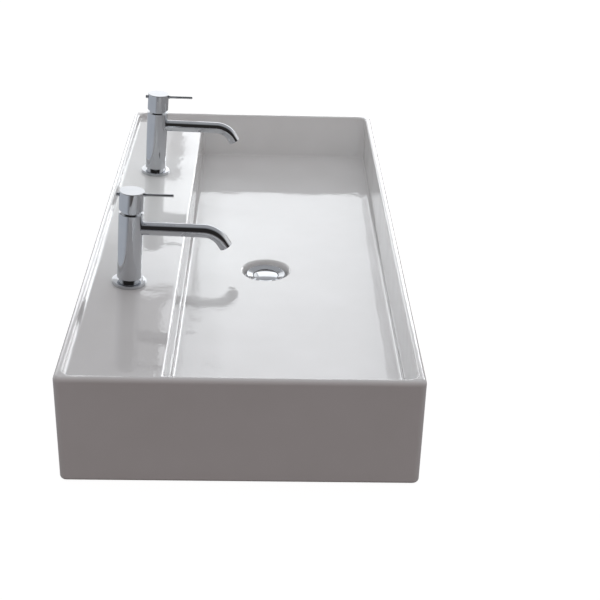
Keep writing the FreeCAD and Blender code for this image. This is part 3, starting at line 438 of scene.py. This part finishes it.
flange_outline = [(14.55, 0), (19, 0), (19, 1.5), (22, 1.5), (22, 0), (24.5, 0), (24.5, 4.0),
                  (24.4, 4.5), (24.1, 4.8), (23.7, 4.95), (23.2, 5.0), (14.55, 5.0)]
for side in ("left", "right"):
    disc = turned(f"{side}_flange_disc", flange_outline, chrome, steps=96)
    stand_for(disc, f"{side}_base_flange", "base", tap_foot(side))
    for part in ("tap_body", "spout", "aerator_housing", "cartridge_nut", "cap", "lever", "lever_nut"):
        coat(chrome, f"{side}_{part}")


# Valve inside each tap: an acetal cup and drum, two lapped alumina discs that slide on each other, a brass
# spindle on a steel pin, and a grub screw that holds the cap.
alumina, tree, shader = new_material("lapped_alumina")
tree.links.new(patchy(tree, (0.80, 0.79, 0.75), (0.88, 0.87, 0.85), scale=300, detail=4),
               shader.inputs["Base Color"])
tree.links.new(span(tree, mottle(tree, scale=400, detail=3), low=0.12, high=0.24),
               shader.inputs["Roughness"])
relief(tree, shader, mottle(tree, scale=1600, detail=2), depth=0.00001)
for side in ("left", "right"):
    coat(acetal, f"{side}_cartridge_housing", f"{side}_rotor")
    coat(alumina, f"{side}_fixed_disc", f"{side}_sliding_disc")
    coat(brass, f"{side}_spindle")
    coat(steel, f"{side}_pivot_pin", f"{side}_grub_screw")


# Aerator: a honeycomb moulded from acetal, pushed into the spout's mouth to break the water up. A chromed
# sleeve in the mouth holds it.
def honeycomb_tree():
    """Six-sided cells that fill a round frame; all sizes in metres."""
    tree = bpy.data.node_groups.new("honeycomb", "GeometryNodeTree")
    tree.interface.new_socket("Geometry", in_out="OUTPUT", socket_type="NodeSocketGeometry")
    sockets = named_inputs(tree, {"Cell": "Float", "Wall": "Float", "Depth": "Float",
                                  "Frame Radius": "Float", "Frame Wall": "Float", "Finish": "Material"})
    given = tree.nodes.new("NodeGroupInput")
    cell, wall, depth, frame_radius, frame_wall, finish = (given.outputs[name] for name in sockets)

    cells_across = 9
    step_x = combine(tree, "MULTIPLY", cell, 1.5)
    step_y = combine(tree, "MULTIPLY", cell, math.sqrt(3))
    grid = tree.nodes.new("GeometryNodeMeshGrid")
    grid.inputs["Vertices X"].default_value = cells_across
    grid.inputs["Vertices Y"].default_value = cells_across
    tree.links.new(combine(tree, "MULTIPLY", step_x, cells_across - 1), grid.inputs["Size X"])
    tree.links.new(combine(tree, "MULTIPLY", step_y, cells_across - 1), grid.inputs["Size Y"])
    number = tree.nodes.new("GeometryNodeInputIndex")
    column = combine(tree, "FLOOR", combine(tree, "DIVIDE", number.outputs[0], cells_across), 0)
    odd_column = combine(tree, "MODULO", column, 2)
    half_step = combine(tree, "MULTIPLY", step_y, 0.5)
    shift = tree.nodes.new("ShaderNodeCombineXYZ")
    tree.links.new(combine(tree, "MULTIPLY", odd_column, half_step), shift.inputs["Y"])
    staggered = tree.nodes.new("GeometryNodeSetPosition")
    tree.links.new(grid.outputs["Mesh"], staggered.inputs["Geometry"])
    tree.links.new(shift.outputs[0], staggered.inputs["Offset"])

    place = tree.nodes.new("GeometryNodeInputPosition")
    away = tree.nodes.new("ShaderNodeVectorMath")
    away.operation = "LENGTH"
    tree.links.new(place.outputs[0], away.inputs[0])
    whole_cells = combine(tree, "SUBTRACT", frame_radius, combine(tree, "ADD", cell, frame_wall))
    reach = combine(tree, "ADD", whole_cells, combine(tree, "MULTIPLY", cell, 0.7))
    inside = tree.nodes.new("GeometryNodeDeleteGeometry")
    tree.links.new(staggered.outputs["Geometry"], inside.inputs["Geometry"])
    tree.links.new(combine(tree, "GREATER_THAN", away.outputs["Value"], reach), inside.inputs["Selection"])

    def walled(radius, sides, thickness):
        loop = tree.nodes.new("GeometryNodeCurvePrimitiveCircle")
        loop.inputs["Resolution"].default_value = sides
        tree.links.new(radius, loop.inputs["Radius"])
        section = tree.nodes.new("GeometryNodeCurvePrimitiveQuadrilateral")
        tree.links.new(thickness, section.inputs["Width"])
        tree.links.new(depth, section.inputs["Height"])
        swept = tree.nodes.new("GeometryNodeCurveToMesh")
        tree.links.new(loop.outputs["Curve"], swept.inputs["Curve"])
        tree.links.new(section.outputs["Curve"], swept.inputs["Profile Curve"])
        return swept.outputs["Mesh"]

    cells = tree.nodes.new("GeometryNodeInstanceOnPoints")
    tree.links.new(inside.outputs["Geometry"], cells.inputs["Points"])
    tree.links.new(walled(cell, sides=6, thickness=wall), cells.inputs["Instance"])
    frame_middle = combine(tree, "SUBTRACT", frame_radius, combine(tree, "MULTIPLY", frame_wall, 0.5))
    both = tree.nodes.new("GeometryNodeJoinGeometry")
    tree.links.new(cells.outputs["Instances"], both.inputs["Geometry"])
    tree.links.new(walled(frame_middle, sides=48, thickness=frame_wall), both.inputs["Geometry"])
    whole = tree.nodes.new("GeometryNodeRealizeInstances")
    painted = tree.nodes.new("GeometryNodeSetMaterial")
    result = tree.nodes.new("NodeGroupOutput")
    tree.links.new(both.outputs["Geometry"], whole.inputs["Geometry"])
    tree.links.new(whole.outputs["Geometry"], painted.inputs["Geometry"])
    tree.links.new(finish, painted.inputs["Material"])
    tree.links.new(painted.outputs["Geometry"], result.inputs["Geometry"])
    return tree, sockets


honeycomb, honeycomb_sockets = honeycomb_tree()
mouth_tilt = math.radians(59.1)
for side in ("left", "right"):
    node = f"{side}_aerator_insert"
    low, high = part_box(node)
    cells = grown(f"{side}_aerator_honeycomb", honeycomb, honeycomb_sockets,
                  {"Cell": 0.00085, "Wall": 0.00022, "Depth": 0.0056,
                   "Frame Radius": (high.x - low.x) / 2, "Frame Wall": 0.0007, "Finish": acetal})
    stand_for(cells, node, "base",
              Matrix.Translation((low + high) / 2) @ Matrix.Rotation(math.pi / 2 - mouth_tilt, 4, "X"))


# Clamp under the ledge: a zinc-plated stud screwed into the tap, a rubber and a steel horseshoe that
# straddle the hoses, and a long brass nut that pulls the tap down on its flange.
def joined(name, meshes):
    """Several meshes of one finish as one."""
    whole = bmesh.new()
    for mesh in meshes:
        whole.from_mesh(mesh)
    result = bpy.data.meshes.new(name)
    whole.to_mesh(result)
    whole.free()
    result.materials.append(meshes[0].materials[0])
    return result


stud_end = Matrix.Translation((0, -0.009, -0.052))
nut_end = Matrix.Translation((0, -0.009, -0.033))
stud_outline = [(2.6, 0), (3.4, 0.8), (3.4, 57.2), (2.6, 58)]
stud_thread_start = 0.0015
for side in ("left", "right"):
    core = turned(f"{side}_stud_core", stud_outline, steel, closed=False, steps=32)
    ridge = wound(f"{side}_stud_thread", turns=44, radius=3.42, rise=55.0, thickness=0.5, sides=5,
                  finish=steel)
    ridge.transform(Matrix.Translation((0, 0, stud_thread_start)))
    stand_for(joined(f"{side}_threaded_stud", [core, ridge]), f"{side}_fixing_stud", "base",
              tap_foot(side) @ stud_end)
    clamp_nut = hex_nut(f"{side}_clamp_nut_hexagon", flats=12.95, bore_radius=4.0, height=16.0,
                        material=brass, steps=60)
    stand_for(clamp_nut, f"{side}_clamp_nut", "base", tap_foot(side) @ nut_end)
    coat(steel, f"{side}_clamp_plate")
    coat(rubber, f"{side}_clamp_gasket", f"{side}_base_seal")


# Studio: a white floor in a white room, which polished metal and glaze mirror as dim behind the camera; in
# those reflections the floor shows a painted reflection, a glow of its own.
# Panels beyond the far end light the china and the metal apart. Two more at their sides, which only show
# as reflections, draw the bright lines along the china's rounded edges.
floor_half, floor_level = 9, -0.0004
floor_mesh = bpy.data.meshes.new("floor")
floor_mesh.from_pydata([(x * floor_half, y * floor_half, floor_level)
                        for x, y in ((-1, -1), (1, -1), (1, 1), (-1, 1))], [], [(0, 1, 2, 3)])
floor = bpy.data.objects.new("floor", floor_mesh)
scene.collection.objects.link(floor)
floor_with_painted_reflection, tree, shader = new_material("floor_with_painted_reflection")
shader.inputs["Base Color"].default_value = (0.18, 0.17, 0.165, 1)
shader.inputs["Roughness"].default_value = 1
shader.inputs["Specular IOR Level"].default_value = 0
path = tree.nodes.new("ShaderNodeLightPath")
ground = tree.nodes.new("ShaderNodeSeparateXYZ")
tree.links.new(on_surface(tree), ground.inputs[0])
# Painted reflection: mirror rays see the floor glow, dark towards the camera end and blue-grey to the +Y
# side, in place of light falling on it.
behind = span(tree, ground.outputs["X"], low=1, high=0, start=-0.74, end=-0.52)
beside = span(tree, ground.outputs["Y"], low=0, high=1, start=0.2, end=0.6)
painted_reflection_dark_end = tint(tree, behind, (0.30, 0.29, 0.285), (0.04, 0.038, 0.036))
painted_floor_reflection = tint(tree, beside, painted_reflection_dark_end, (0.45, 0.485, 0.535))
tree.links.new(tint(tree, path.outputs["Is Camera Ray"], painted_floor_reflection, (0.95, 0.95, 0.95)),
               shader.inputs["Emission Color"])
mirror = combine(tree, "MAXIMUM", path.outputs["Is Glossy Ray"], path.outputs["Is Transmission Ray"])
shown = combine(tree, "MAXIMUM", path.outputs["Is Camera Ray"], mirror)
tree.links.new(shown, shader.inputs["Emission Strength"])
floor_mesh.materials.append(floor_with_painted_reflection)

world = bpy.data.worlds.new("studio")
scene.world = world
world.use_nodes = True
tree = world.node_tree
tree.nodes.clear()
out = tree.nodes.new("ShaderNodeOutputWorld")
path = tree.nodes.new("ShaderNodeLightPath")
where = tree.nodes.new("ShaderNodeTexCoord")
heading = tree.nodes.new("ShaderNodeSeparateXYZ")
tree.links.new(where.outputs["Generated"], heading.inputs[0])
overhead = span(tree, heading.outputs["Z"], low=0, high=1, start=0.30, end=0.62)
upper = tint(tree, overhead, (1.0, 1.0, 1.0), (0.46, 0.47, 0.49))
near_end = span(tree, heading.outputs["X"], low=0, high=1, start=-0.05, end=-0.50)
room = tint(tree, near_end, upper, (0.03, 0.028, 0.027))
mirror = combine(tree, "MAXIMUM", path.outputs["Is Glossy Ray"], path.outputs["Is Transmission Ray"])
wall_side = span(tree, heading.outputs["Y"], low=0, high=1, start=-1, end=1)
sides = tint(tree, wall_side, (0.46, 0.464, 0.475), (0.155, 0.158, 0.165))
height = span(tree, heading.outputs["Z"], low=0, high=1, start=0, end=1)
across_room = tint(tree, height, sides, (0.585, 0.592, 0.607))
camera_end = span(tree, heading.outputs["X"], low=0, high=1, start=0.1, end=-0.7)
soft = tint(tree, camera_end, across_room, (0.360, 0.312, 0.311))
around = tint(tree, mirror, soft, room)
sky = tree.nodes.new("ShaderNodeBackground")
tree.links.new(tint(tree, path.outputs["Is Camera Ray"], around, (1.0, 1.0, 1.0)), sky.inputs["Color"])
tree.links.new(sky.outputs[0], out.inputs[0])


def panel(name, low_y, high_y, low_z, high_z, x, radiance, lit):
    """A soft upright panel beyond the far end, that lights only the pieces in its group."""
    data = bpy.data.lights.new(name, "AREA")
    data.shape = "RECTANGLE"
    data.size = high_y - low_y
    data.size_y = high_z - low_z
    data.energy = radiance * math.pi * data.size * data.size_y
    data.color = (0.94, 0.97, 1.0)
    lamp = bpy.data.objects.new(name, data)
    lamp.matrix_world = Matrix(((0, 0, 1, x), (-1, 0, 0, (low_y + high_y) / 2),
                                (0, -1, 0, (low_z + high_z) / 2), (0, 0, 0, 1)))
    lamp.visible_camera = False
    lamp.light_linking.receiver_collection = lit
    scene.collection.objects.link(lamp)
    return lamp


china = bpy.data.collections.new("china")
china.objects.link(frame["nodes"]["basin"])
metalwork = bpy.data.collections.new("metalwork")
for item in scene.objects:
    if item.type == "MESH" and item.name != "basin":
        metalwork.objects.link(item)
for low_y, high_y, low_z, high_z, radiance in (
        (-1.5, 0.145, 0.17, 1.60, 2.35), (-1.5, 0.175, 1.60, 1.95, 1.6), (0.145, 0.175, 0.17, 1.53, 2.1),
        (0.175, 0.225, 1.08, 1.54, 1.9), (0.225, 0.55, 0.17, 1.36, 0.5), (0.225, 0.34, 1.36, 1.56, 1.9),
        (0.55, 1.2, 0.17, 1.95, 1.3)):
    panel("china_panel", low_y, high_y, low_z, high_z, x=2.5, radiance=radiance, lit=china)
for low_y, high_y, radiance in ((-1.9, -0.72, 4.5), (0.62, 1.8, 3.0)):
    lamp = panel("edge_panel", low_y, high_y, low_z=0.30, high_z=1.60, x=2.55, radiance=radiance, lit=china)
    lamp.visible_diffuse = False
for low_y, high_y, radiance in ((-1.5, 0.19, 0.9), (0.225, 1.2, 0.5)):
    panel("metal_panel", low_y, high_y, low_z=0.17, high_z=1.60, x=2.6, radiance=radiance, lit=metalwork)


# Two gridded soft boxes that mirrors do not see: one above the camera, aimed at the inside of the far end,
# and one over the far half of the ledge.
for name, place, target, width, spread, power in (
        ("far_end_box", (-1.3, -0.1, 1.35), (0.47, -0.12, 0.11), 0.8, 30, 0.098),
        ("ledge_box", (0.10, 0.26, 0.85), (0.08, 0.17, 0.14), 0.3, 40, 0.024)):
    data = bpy.data.lights.new(name, "AREA")
    data.shape = "RECTANGLE"
    data.size, data.size_y = width, 0.6 * width
    data.spread = math.radians(spread)
    data.energy = power
    data.color = (0.90, 1.0, 1.0)
    box = bpy.data.objects.new(name, data)
    aim = Vector(target) - Vector(place)
    box.matrix_world = Matrix.Translation(place) @ aim.to_track_quat("-Z", "Y").to_matrix().to_4x4()
    box.visible_camera = False
    box.visible_glossy = False
    scene.collection.objects.link(box)


# Camera: at the near end, above the basin, looking along it with a long lens, at the photograph's angle.
# Its place is in metres, and its yaw, pitch and roll are turned from the basin's long side.
stand = (-1.76695, -0.02731, 0.91769)
yaw, pitch, roll = math.radians(-1.9251), math.radians(27.3534), math.radians(1.7249)
ahead = Vector((math.cos(pitch) * math.cos(yaw), math.cos(pitch) * math.sin(yaw), -math.sin(pitch)))
right = ahead.cross(Vector((0, 0, 1))).normalized()
up = right.cross(ahead)
across = math.cos(roll) * right + math.sin(roll) * up
upward = -math.sin(roll) * right + math.cos(roll) * up
lens = bpy.data.cameras.new("camera")
lens.lens = 72.28
lens.sensor_width = 36
camera = bpy.data.objects.new("camera", lens)
camera.matrix_world = (Matrix.Translation(stand)
                       @ Matrix((across, upward, -ahead)).transposed().to_4x4())
scene.collection.objects.link(camera)
scene.camera = camera
scene.view_settings.view_transform = "Standard"
